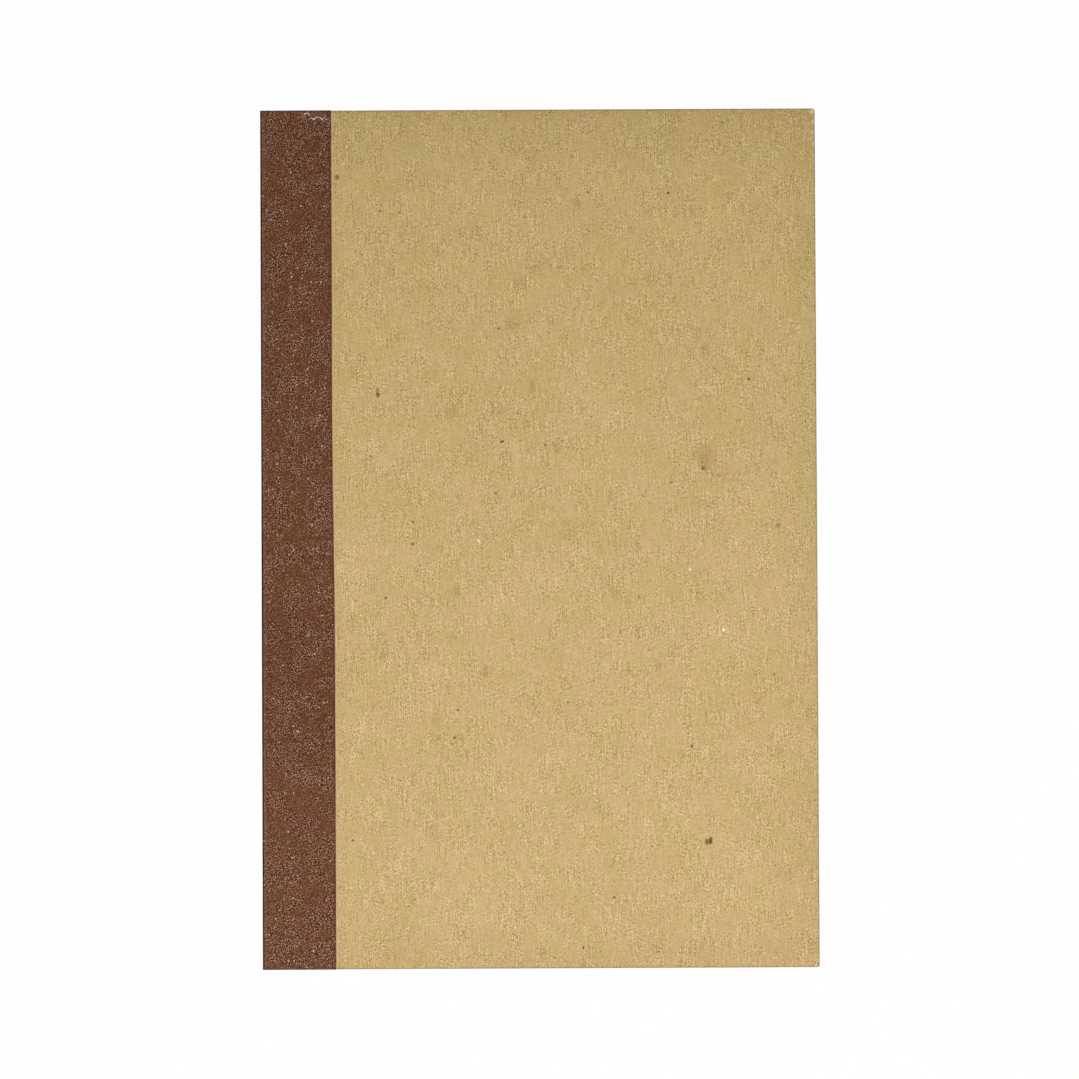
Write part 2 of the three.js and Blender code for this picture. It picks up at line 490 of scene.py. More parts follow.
class Surface(Sketch):
    """The nodes of one finish: its material, its shader and the place that its pattern reads."""

    def __init__(self, name: str, follows_rest: bool) -> None:
        """Makes the material with its shader.

        Args:
            name: The material's name.
            follows_rest: Whether the pattern reads the stored rest place, or Object coordinates.
        """
        self.material = bpy.data.materials.new(name)
        self.material.use_nodes = True
        super().__init__(self.material.node_tree)
        self.shader = self.tree.nodes["Principled BSDF"]
        if follows_rest:
            self.place = self.add("ShaderNodeAttribute", attribute_name=REST_PLACE).outputs["Vector"]
        else:
            self.place = self.add("ShaderNodeTexCoord").outputs["Object"]

    @cached_property
    def axes(self) -> tuple[Socket, ...]:
        """The pattern's place across the pad, along its spine and upwards."""
        return self.split(self.place)

    def clouds(self, size: float, detail: float, place: Socket | None = None) -> Socket:
        """Soft clouds of a given size, on the pattern's place or another one."""
        place = self.place if place is None else place
        return self.group(EFFECTS.mottle, vector=place, size=size, detail=detail)

    def layers(self, flatness: float, size: float, detail: float) -> Socket:
        """Clouds drawn out along the pad, as the plies of a cut edge."""
        drawn = self.vector("MULTIPLY", self.place, (flatness, flatness, 1.0))
        return self.clouds(size, detail, drawn)

    def fibres(self, width: float, length: float, slant: float = 0.0) -> Socket:
        """Fibres of a given width and length."""
        return self.group(EFFECTS.fibres, vector=self.place, width=width, length=length, slant=slant)

    def specks(self, sprinkle: Sprinkle) -> Socket:
        """A mask of specks."""
        spacing, radius, share = sprinkle
        return self.group(EFFECTS.specks, vector=self.place, spacing=spacing, radius=radius, share=share)

    def rim(self, plan: Plan, width: float) -> Socket:
        """A mask of a band of a given width along a plan's outline."""
        return self.group(
            EFFECTS.outline, vector=self.place, centre=plan.centre, half_size=plan.half_size, width=width
        )

    def shaded(self, colour: Socket, mask: Socket, shade: Colour) -> Socket:
        """A colour multiplied by a shade where a mask says so."""
        return self.tinted(colour, self.mix(mask, WHITE, shade))

    def painted_light_gradient(self, colour: Socket, head: Colour, tail: Colour, reach: float = 90 * MM) -> Socket:
        """Tints a colour towards the pad's head and towards its tail: painted light, where the light's colour
        and strength change along the pad.
        """
        return self.tinted(colour, self.mix(self.ease(self.axes[1], -reach, reach), tail, head))

    def marked(
        self, colour: Socket, flecks: tuple[Fleck, ...], inks: Inks, where: Callable[[Vector], Vector],
        turned: float = 1.0,
    ) -> Socket:
        """Paints flecks where the photograph shows them.

        Args:
            colour: The colour under the flecks.
            flecks: The flecks, from the lowest to the uppermost.
            inks: Their colours.
            where: Turns a point of the pad's plan into the pattern's coordinates.
            turned: -1 where the pattern is the plan's mirror image.

        Returns:
            The colour with its flecks.
        """
        uneven = self.clouds(0.5 * MM, 0.0)
        half = PHOTO.mm_per_px * MM * 0.43  # a little under a half, for the soft edge outside it
        for fleck in flecks:
            mask = self.group(
                EFFECTS.mark,
                vector=self.place,
                centre=where(PHOTO.place(fleck.x_px, fleck.y_px)),
                half_size=(fleck.wide_px * half, fleck.long_px * half, FACE_DEPTH),
                uneven=uneven,
                slant=math.radians(fleck.slant_deg) * turned,
                softness=fleck.softness,
                strength=abs(fleck.tone),
            )
            colour = self.mix(mask, colour, fleck.ink(inks))
        return colour

    def dress(
        self, colour: Socket, roughness: object, specular: float, height: Socket, depth: float
    ) -> bpy.types.Material:
        """Feeds the shader.

        Args:
            colour: The surface's colour.
            roughness: Its roughness, a number or a pattern.
            specular: Its specular level.
            height: The pattern of its relief.
            depth: The depth of its relief in metres.

        Returns:
            The finished material.
        """
        bump = self.add("ShaderNodeBump", {"Strength": 1.0, "Distance": depth, "Height": height})
        self.feed(self.shader.inputs["Base Color"], colour)
        self.feed(self.shader.inputs["Roughness"], roughness)
        self.feed(self.shader.inputs["Specular IOR Level"], specular)
        self.feed(self.shader.inputs["Normal"], bump.outputs["Normal"])
        return self.material


@dataclass(frozen=True)
class FlapEdge:
    """The inner edge of the tape on the cover, which runs off towards the tail."""

    spine_x: float
    at_head: float = 17.88 * MM
    at_tail: float = 18.40 * MM
    drift_from: float = -35.0 * MM
    drift_to: float = 35.0 * MM

    def width(self, along_spine: float) -> float:
        """The flap's width at a place along the spine."""
        share = min(1.0, max(0.0, (along_spine - self.drift_from) / (self.drift_to - self.drift_from)))
        return self.at_tail + (self.at_head - self.at_tail) * share * share * (3 - 2 * share)

    def past(self, nodes: Surface) -> Socket:
        """How far a point of the board lies past the edge, as a node's value."""
        width = nodes.ease(nodes.axes[1], self.drift_from, self.drift_to, self.at_tail, self.at_head)
        return nodes.math("SUBTRACT", nodes.math("SUBTRACT", nodes.axes[0], self.spine_x), width)


@dataclass(frozen=True)
class Chipboard:
    """Pressed waste fibre: short strokes along the pad, soft clouds, specks and a raw cut edge."""

    name: str
    base: Colour
    deep: Colour
    pale: Colour
    edge: Colour
    plan: Plan
    flecks: tuple[Fleck, ...] = ()
    flap_edge: FlapEdge | None = None
    cool: Colour = (0.976, 1.013, 0.941, 1.0)
    warm: Colour = (1.020, 0.988, 1.048, 1.0)
    # painted light: the board's colour towards its head and towards its tail, as the light changes along it
    head_light_tint: Colour = (0.996, 1.008, 0.945, 1.0)
    tail_light_tint: Colour = (1.004, 0.982, 1.045, 1.0)
    soiled: Colour = (0.955, 0.950, 0.938, 1.0)
    # painted shade at the board's head, where less light reaches it
    head_shade: Colour = (0.966, 0.966, 0.958, 1.0)
    dark_speck: Colour = srgb(112, 88, 52)
    light_speck: Colour = srgb(238, 220, 178)
    # a pale line along the tape's edge on the board
    pale_line: Colour = srgb(218, 181, 148)
    inks: Inks = Inks(dark=srgb(97, 68, 0), stain=srgb(131, 96, 0), light=srgb(252, 240, 206))
    fibre_width: float = 0.155 * MM
    fibre_length: float = 0.52 * MM
    fibre_slants: tuple[float, float] = (0.34, -0.30)
    stroke_width: float = 0.30 * MM
    stroke_length: float = 4.4 * MM
    patch_size: float = 4.6 * MM
    clouds: tuple[tuple[float, float], ...] = ((1.5 * MM, 0.16), (7.5 * MM, 0.12), (24.0 * MM, 0.10))
    hue_size: float = 7.0 * MM
    dark_specks: Sprinkle = (3.4 * MM, 0.20 * MM, 0.32)
    light_specks: Sprinkle = (2.6 * MM, 0.16 * MM, 0.25)
    soiled_width: float = 13.0 * MM
    head_shade_reach: tuple[float, float] = (17.0 * MM, 11.0 * MM)  # from the head, where it starts and is full
    # painted shade that the tape's edge casts on the board
    tape_shade: tuple[float, float] = (2.2 * MM, 3.6 * MM)  # past the tape's edge, where it fades
    pale_line_fades: tuple[float, float] = (0.30 * MM, 0.62 * MM)
    cut_width: float = 0.48 * MM
    relief_depth: float = 0.020 * MM

    def material(self) -> bpy.types.Material:
        """Builds the board's material.

        Returns:
            The material, with its pattern on the rest place of the board.
        """
        nodes = Surface(self.name, follows_rest=True)
        tone, fibres = self._tone(nodes)
        hue = nodes.ease(nodes.clouds(self.hue_size, 2.5), 0.3, 0.7)
        colour = nodes.tinted(self.base, nodes.mix(hue, self.cool, self.warm))
        # painted light, changing from the tail to the head
        colour = nodes.painted_light_gradient(colour, self.head_light_tint, self.tail_light_tint)
        colour = nodes.mix(nodes.ease(tone, 0.5, 0.10), colour, self.deep)
        colour = nodes.mix(nodes.ease(tone, 0.5, 0.92), colour, self.pale)
        colour = nodes.shaded(colour, nodes.rim(self.plan, self.soiled_width), self.soiled)
        # painted shade, darker towards the head
        shade_from, shade_fully = (self.plan.half_size.y - reach for reach in self.head_shade_reach)
        colour = nodes.shaded(colour, nodes.ease(nodes.axes[1], shade_from, shade_fully), self.head_shade)
        colour = self._specked(nodes, colour)
        if self.flap_edge is not None:
            colour = self._pale_line_and_tape_shade(nodes, colour)
        return nodes.dress(self._cut_edge(nodes, colour), 0.9, 0.15, fibres, self.relief_depth)

    def _tone(self, nodes: Surface) -> tuple[Socket, Socket]:
        """The board's light and dark.

        Args:
            nodes: The board's surface.

        Returns:
            The tone, about 0.5, and the fibres alone, for the relief.
        """
        left, right = (
            nodes.swing(nodes.fibres(self.fibre_width, self.fibre_length, slant), 1.62)
            for slant in self.fibre_slants
        )
        stroke = nodes.fibres(self.stroke_width, self.stroke_length, -0.02)
        fibres = nodes.total(left, right, nodes.swing(stroke, 0.70))
        strength = nodes.ease(nodes.clouds(self.patch_size, 1.5), 0.34, 0.66, 0.52, 1.22)
        broad = nodes.total(*(nodes.swing(nodes.clouds(size, 2.0), weight) for size, weight in self.clouds))
        return nodes.total(0.5, nodes.product(fibres, strength), broad), fibres

    def _specked(self, nodes: Surface, colour: Socket) -> Socket:
        """Adds the board's fine specks everywhere and its larger flecks where the photo shows them.

        Args:
            nodes: The board's surface.
            colour: The colour under them.

        Returns:
            The colour with them.
        """
        dark = nodes.product(nodes.specks(self.dark_specks), 0.45)
        light = nodes.product(nodes.specks(self.light_specks), 0.35)
        colour = nodes.mix(light, nodes.mix(dark, colour, self.dark_speck), self.light_speck)
        return nodes.marked(colour, self.flecks, self.inks, self._on_face) if self.flecks else colour

    def _on_face(self, point: Vector) -> Vector:
        """Where a point of the pad's plan lies on the board's upper face."""
        return Vector((point.x, point.y, self.plan.face_z))

    def _pale_line_and_tape_shade(self, nodes: Surface, colour: Socket) -> Socket:
        """The thin pale line along the tape's edge on the board, and a faint painted shade that the tape's
        edge casts on the board past it.

        Args:
            nodes: The board's surface.
            colour: The board's colour.

        Returns:
            The colour with the line.
        """
        past = self.flap_edge.past(nodes)
        # painted shade past the tape's edge
        colour = nodes.mix(nodes.ease(past, *self.tape_shade, 0.045, 0.0), colour, self.deep)
        # a pale line along the tape's edge
        near = nodes.ease(past, *self.pale_line_fades, 1.0, 0.0)
        near = nodes.product(near, nodes.ease(nodes.axes[2], self.plan.face_z - FACE_DEPTH, self.plan.face_z))
        broken = nodes.ease(nodes.clouds(2.2 * MM, 3.0), 0.3, 0.6, 0.35, 0.85)
        return nodes.mix(nodes.product(near, broken), colour, self.pale_line)

    def _cut_edge(self, nodes: Surface, colour: Socket) -> Socket:
        """The greyer, darker cut edge, with the board's plies showing on its sides."""
        plies = nodes.mix(nodes.ease(nodes.layers(0.12, 0.22 * MM, 2.0), 0.38, 0.64), self.edge, self.deep)
        return nodes.mix(nodes.product(nodes.rim(self.plan, self.cut_width), 0.88), colour, plies)


@dataclass(frozen=True)
class BindingTape:
    """Brown paper tape embossed as leather: pebbles with dark pits deepened by painted shade, pale tops that
    are partly worn and partly painted highlights, painted glints, and scuffs.
    """

    unrolled: float
    fold_from: float
    fold_to: float
    length: float
    flap_edge: FlapEdge
    flap_width: float
    name: str = "binding_tape"
    base: Colour = srgb(94, 54, 30)
    olive: Colour = srgb(91, 56, 28)
    red: Colour = srgb(100, 51, 32)
    # the pits' own dark colour, deepened by painted shade in the hollows
    pit_and_shade: Colour = srgb(46, 6, 0)
    # pale tops: partly their worn colour, partly painted highlights of the grain
    top: Colour = srgb(208, 167, 140)
    # colour of the painted glints on the grain's tops
    spot: Colour = srgb(240, 208, 180)
    # painted light: the tape's colour towards its head, and brighter towards its tail where more light falls
    head_light_tint: Colour = (1.02, 1.02, 0.95, 1.0)
    tail_light_tint: Colour = (1.14, 1.15, 1.18, 1.0)
    # the tape is darker along a stretch of its lower half
    darker_band: Colour = (0.90, 0.90, 0.90, 1.0)
    darker_band_zone: tuple[float, float, float, float] = (-62.0 * MM, -50.0 * MM, -22.0 * MM, -14.0 * MM)
    # painted light on each fold's rounded top, over its wear
    worn_and_lit_fold: Colour = srgb(124, 98, 84)
    # painted shade where each fold turns down
    fold_shade: Colour = srgb(27, 17, 11)
    cut_end: Colour = srgb(74, 61, 52)
    cut_side: Colour = srgb(84, 48, 26)
    torn: Inks = Inks(dark=srgb(114, 86, 68), stain=srgb(114, 86, 68), light=srgb(232, 216, 200))
    pebble: float = 0.36 * MM
    # spacing, radius and share of the painted glints
    glint_specks: Sprinkle = (1.2 * MM, 0.20 * MM, 0.50)
    relief_depth: float = 0.03 * MM

    def material(self) -> bpy.types.Material:
        """Builds the tape's material.

        Returns:
            The material, with its pattern on the unrolled strip.
        """
        nodes = Surface(self.name, follows_rest=True)
        height = self._leather(nodes)
        hue = nodes.ease(nodes.clouds(6.0 * MM, 2.0), 0.36, 0.64)
        colour = nodes.mix(0.4, self.base, nodes.mix(hue, self.olive, self.red))
        # painted light, brighter towards the tail
        colour = nodes.painted_light_gradient(colour, self.head_light_tint, self.tail_light_tint)
        # painted shade in the hollows of the grain, over the pits' own colour
        colour = nodes.mix(nodes.ease(height, 0.50, -0.10), colour, self.pit_and_shade)
        # painted highlights on the tops of the grain, partly their worn colour
        colour = nodes.mix(nodes.ease(height, 0.57, 1.30), colour, self.top)
        # painted glints, kept to the tops of the grain
        on_tops = nodes.ease(height, 0.35, 0.85, 0.15, 1.0)
        glint_specks = nodes.product(nodes.specks(self.glint_specks), on_tops)
        colour = nodes.mix(glint_specks, colour, self.spot)
        # darker along a stretch of the lower half
        in_darker_band = nodes.band(nodes.axes[1], *self.darker_band_zone)
        colour = self._edges(nodes, nodes.shaded(colour, in_darker_band, self.darker_band))
        colour = nodes.marked(colour, TORN_SKIN, self.torn, self._on_strip, turned=-1.0)
        roughness = nodes.ease(height, 0.2, 0.8, 0.76, 0.56)
        return nodes.dress(colour, roughness, 0.05, height, self.relief_depth)

    def _on_strip(self, point: Vector) -> Vector:
        """Where a point of the cover's face lies on the unrolled strip."""
        return Vector((self.flap_edge.spine_x + self.flap_width - point.x, point.y, 0.0))

    def _leather(self, nodes: Surface) -> Socket:
        """The embossed grain: fine pebbles broken by worm-like creases.

        Args:
            nodes: The tape's surface.

        Returns:
            The height of the grain.
        """
        crease = nodes.fibres(self.pebble * 0.60, self.pebble * 0.76, 0.5)
        bent = nodes.noise(nodes.place, scale=0.7 / self.pebble, detail=0.0)["Color"]
        shift = nodes.vector("MULTIPLY", bent, (self.pebble * 0.9,) * 3)
        pebbles = nodes.cells(nodes.vector("ADD", nodes.place, shift), 1.0 / self.pebble)
        dome = nodes.math("SUBTRACT", 1.05, pebbles["Distance"])
        strength = nodes.ease(nodes.clouds(5.0 * MM, 2.0), 0.36, 0.64, 0.54, 1.30)
        grain = nodes.total(nodes.swing(crease, 3.35), nodes.swing(dome, 0.75))
        level = nodes.math("SUBTRACT", 0.65, nodes.product(strength, 0.16))
        small = nodes.swing(nodes.clouds(1.2 * MM, 1.0), 0.24)
        return nodes.total(level, nodes.product(grain, strength), small)

    def _edges(self, nodes: Surface, colour: Socket) -> Socket:
        """Worn bands beside the two folds, lightened as painted light, a dark line of painted shade round
        each, and the darker cut edges.

        Args:
            nodes: The tape's surface.
            colour: The colour of its face.

        Returns:
            The colour with its edges.
        """
        across, along_spine, _ = nodes.axes
        inset = nodes.math("MINIMUM", across, nodes.math("SUBTRACT", self.unrolled, across))
        ragged = nodes.clouds(1.3 * MM, 3.0)
        fold = self.fold_from
        lower = fold + 0.22 * (self.fold_to - fold)
        upper = fold + 0.78 * (self.fold_to - fold)
        # the band of painted light and wear on each fold
        worn_and_lit_band = nodes.band(inset, fold - 0.55 * MM, fold - 0.25 * MM, lower - 0.05 * MM, lower + 0.05 * MM)
        # the band of painted shade where each fold turns down
        dark = nodes.band(inset, lower - 0.10 * MM, lower + 0.12 * MM, upper, upper + 0.30 * MM)
        to_end = nodes.math("SUBTRACT", self.length / 2, nodes.math("ABSOLUTE", along_spine))
        for share, ink in (
            (nodes.product(worn_and_lit_band, nodes.ease(ragged, 0.3, 0.62, 0.05, 0.5)), self.worn_and_lit_fold),
            (nodes.product(dark, nodes.ease(ragged, 0.25, 0.6, 0.70, 0.95)), self.fold_shade),
            (nodes.ease(to_end, 0.10 * MM, 0.42 * MM, 0.75, 0.0), self.cut_end),
            (nodes.ease(inset, 0.15 * MM, 0.75 * MM, 0.55, 0.0), self.cut_side),
        ):
            colour = nodes.mix(share, colour, ink)
        return colour


@dataclass(frozen=True)
class ColdPressPaper:
    """Heavy cotton paper with a felt-marked tooth and a softly fibrous cut edge."""

    plan: Plan
    name: str = "cold_press_paper"
    base: Colour = srgb(243, 239, 228)
    shade: Colour = srgb(231, 225, 211)
    creamy: Colour = srgb(236, 228, 208)
    fleck: Colour = srgb(186, 172, 140)
    # the cut edge: partly its own yellower colour, partly painted shade
    cut: Colour = srgb(224, 215, 194)
    tooth: float = 1.15 * MM
    flecks: Sprinkle = (7.0 * MM, 0.16 * MM, 0.3)
    cut_width: float = 0.18 * MM
    relief_depth: float = 0.06 * MM

    def material(self) -> bpy.types.Material:
        """Builds the paper's material.

        Returns:
            The material, with its pattern on the rest place of the sheet.
        """
        nodes = Surface(self.name, follows_rest=True)
        felt = nodes.product(nodes.clouds(self.tooth, 2.5), 0.75)
        height = nodes.math("ADD", felt, nodes.product(nodes.fibres(0.25 * MM, 0.5 * MM, 0.3), 0.25))
        colour = nodes.mix(nodes.ease(height, 0.52, 0.28), self.base, self.shade)
        cream = nodes.ease(nodes.clouds(40.0 * MM, 1.0), 0.4, 0.7, 0.0, 0.18)
        colour = nodes.mix(cream, colour, self.creamy)
        flecks = nodes.product(nodes.specks(self.flecks), 0.3)
        colour = nodes.mix(flecks, colour, self.fleck)
        uneven = nodes.ease(nodes.layers(0.08, 0.55 * MM, 1.0), 0.36, 0.64, 0.15, 0.8)
        # the cut edge's band: partly its own colour, partly painted shade
        colour = nodes.mix(nodes.product(nodes.rim(self.plan, self.cut_width), uneven), colour, self.cut)
        return nodes.dress(colour, 0.92, 0.2, height, self.relief_depth)


@dataclass(frozen=True)
class PaddingGlue:
    """Dried white padding compound: milky, brushed along the spine, with a slight gloss."""

    name: str = "padding_glue"
    base: Colour = srgb(226, 221, 206)
    thin: Colour = srgb(196, 184, 158)
    relief_depth: float = 0.03 * MM

    def material(self) -> bpy.types.Material:
        """Builds the glue's material.

        Returns:
            The material, with its pattern on Object coordinates.
        """
        nodes = Surface(self.name, follows_rest=False)
        brushed = nodes.fibres(0.35 * MM, 4.0 * MM)
        colour = nodes.mix(nodes.ease(brushed, 0.35, 0.65), self.base, self.thin)
        return nodes.dress(colour, nodes.ease(brushed, 0.3, 0.7, 0.3, 0.5), 0.5, brushed, self.relief_depth)


def linked(name: str, data: bpy.types.ID) -> bpy.types.Object:
    """Puts a new object into the scene.

    Args:
        name: The object's name.
        data: Its mesh, lamp or camera.

    Returns:
        The object, at the origin.
    """
    made = bpy.data.objects.new(name, data)
    bpy.context.scene.collection.objects.link(made)
    return made


def mesh_of(name: str, bm: Shape, material: bpy.types.Material) -> bpy.types.Mesh:
    """Turns a bmesh into a mesh.

    Args:
        name: The mesh's name.
        bm: The shape, in metres and in place, which is freed.
        material: Its one material.

    Returns:
        The new mesh.
    """
    mesh = bpy.data.meshes.new(name)
    bm.to_mesh(mesh)
    bm.free()
    mesh.materials.append(material)
    return mesh


def finished(name: str, bm: Shape, material: bpy.types.Material) -> bpy.types.Object:
    """Turns a bmesh into a piece in its material.

    Args:
        name: The piece's name.
        bm: The shape, in metres and in place, which is freed.
        material: The piece's material.

    Returns:
        The new object, at the origin, with its place in its mesh.
    """
    mesh = mesh_of(name, bm, material)
    mesh.shade_smooth()
    mesh.set_sharp_from_angle(angle=math.radians(SHARP_DEG))
    piece = linked(name, mesh)
    return piece


def keep_rest_place(bm: Shape) -> None:
    """Stores where each vertex lies now, for patterns that must not slide when the piece bends.

    Args:
        bm: The shape.
    """
    layer = bm.verts.layers.float_vector.new(REST_PLACE)
    for vert in bm.verts:
        vert[layer] = vert.co


def steps(start: float, end: float, pitch: float) -> tuple[float, ...]:
    """Places for cuts between two ends, evenly spaced at about a given pitch."""
    count = max(1, round((end - start) / pitch))
    return tuple(start + (end - start) * i / count for i in range(1, count))


def cut_across(bm: Shape, axis: Vector, places: tuple[float, ...]) -> None:
    """Crosses a shape with cuts, so that it can be bent and shaped between them.

    Args:
        bm: The shape.
        axis: The direction that the cuts stand across.
        places: How far along it they lie.
    """
    for place in places:
        geometry = bm.verts[:] + bm.edges[:] + bm.faces[:]
        bmesh.ops.bisect_plane(bm, geom=geometry, dist=CUT_SLACK, plane_co=axis * place, plane_no=axis)


@dataclass
class Slab:
    """A board or sheet: a flat box with softened edges, crossed by cuts so that it can be shaped."""

    low: Vector
    high: Vector
    corner_radius: float
    edge_radius: float
    cuts_x: tuple[float, ...]
    cuts_y: tuple[float, ...]
    corner_segments: int = 6
    edge_segments: int = 3

    def build(self) -> Shape:
        """Builds the slab.

        Returns:
            The closed shape, in place.
        """
        bm = bmesh.new()
        bmesh.ops.create_cube(bm, size=1.0)
        bmesh.ops.scale(bm, vec=self.high - self.low, verts=bm.verts)
        bmesh.ops.translate(bm, vec=(self.low + self.high) / 2, verts=bm.verts)
        if self.corner_radius > 0:
            corners = [e for e in bm.edges if self._upright(e) and e.verts[0].co.x > self.high.x - HAIR]
            self._bevel(bm, corners, self.corner_radius, self.corner_segments)
        rim = [e for e in bm.edges if not self._upright(e) and e.calc_face_angle() > 1.0]
        self._bevel(bm, rim, self.edge_radius, self.edge_segments)
        cut_across(bm, Vector((1, 0, 0)), self.cuts_x)
        cut_across(bm, Vector((0, 1, 0)), self.cuts_y)
        return bm

    @staticmethod
    def _upright(edge: bmesh.types.BMEdge) -> bool:
        """Whether an edge stands up from the table."""
        return abs(edge.verts[0].co.z - edge.verts[1].co.z) > HAIR

    @staticmethod
    def _bevel(bm: Shape, edges: list[bmesh.types.BMEdge], radius: float, segments: int) -> None:
        """Rounds some edges off.

        Args:
            bm: The shape.
            edges: Its edges that are rounded.
            radius: How far the rounding reaches from an edge.
            segments: How many faces it has.
        """
        bmesh.ops.bevel(
            bm, geom=edges, offset=radius, offset_type="OFFSET", segments=segments, profile=0.5,
            affect="EDGES", material=-1, clamp_overlap=True,
        )


@dataclass
class BoardCover:
    """One of the two chipboard covers, cut to the pad's outline with slightly worn edges."""

    node: str
    body: Body
    finish: Chipboard
    slot: Slot
    edge_radius: float = 0.16 * MM
    corner_radius: float = 0.6 * MM
    pitch: float = 3.0 * MM
    wear_depth: float = 0.07 * MM
    wear_grain: float = 260.0
    corner_reach: float = 4.0 * MM
    unworn: float = 1.0 * MM  # how far from the spine nothing is worn

    def build(self) -> bpy.types.Object:
        """Builds the board, dresses it and hangs it on its body.

        Returns:
            The board.
        """
        low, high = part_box(self.node)
        slab = Slab(
            low, high, self.corner_radius, self.edge_radius,
            steps(low.x, high.x, self.pitch), steps(low.y, high.y, self.pitch),
        )
        bm = slab.build()
        keep_rest_place(bm)
        self._wear(bm, low, high)
        piece = finished(self.node + "_sheet", bm, self.finish.material())
        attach(piece, self.body.value)
        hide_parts(self.node)
        return piece

    def _wear(self, bm: Shape, low: Vector, high: Vector) -> None:
        """Draws the cut edges in a little and unevenly, most at the free corners.

        Args:
            bm: The board's shape.
            low: The lowest corner of its box.
            high: The highest corner.
        """
        middle = (low + high) / 2
        reach = self.edge_radius * 1.5
        for vert in bm.verts:
            to_side = min(high.x - vert.co.x, vert.co.y - low.y, high.y - vert.co.y)
            if to_side > reach or vert.co.x < low.x + self.unworn:
                continue
            rough = noise.noise(vert.co * self.wear_grain) * 0.5 + 0.5
            to_end = high.y - abs(vert.co.y - middle.y) - middle.y
            to_corner = math.hypot(high.x - vert.co.x, to_end)
            share = rough * (0.5 + 0.5 * math.exp(-to_corner / self.corner_reach))
            inward = Vector((-1.0 if high.x - vert.co.x < reach else 0.0, 0.0, 0.0))
            if min(vert.co.y - low.y, high.y - vert.co.y) < reach:
                inward.y = -math.copysign(1.0, vert.co.y - middle.y)
            vert.co += inward * self.wear_depth * share


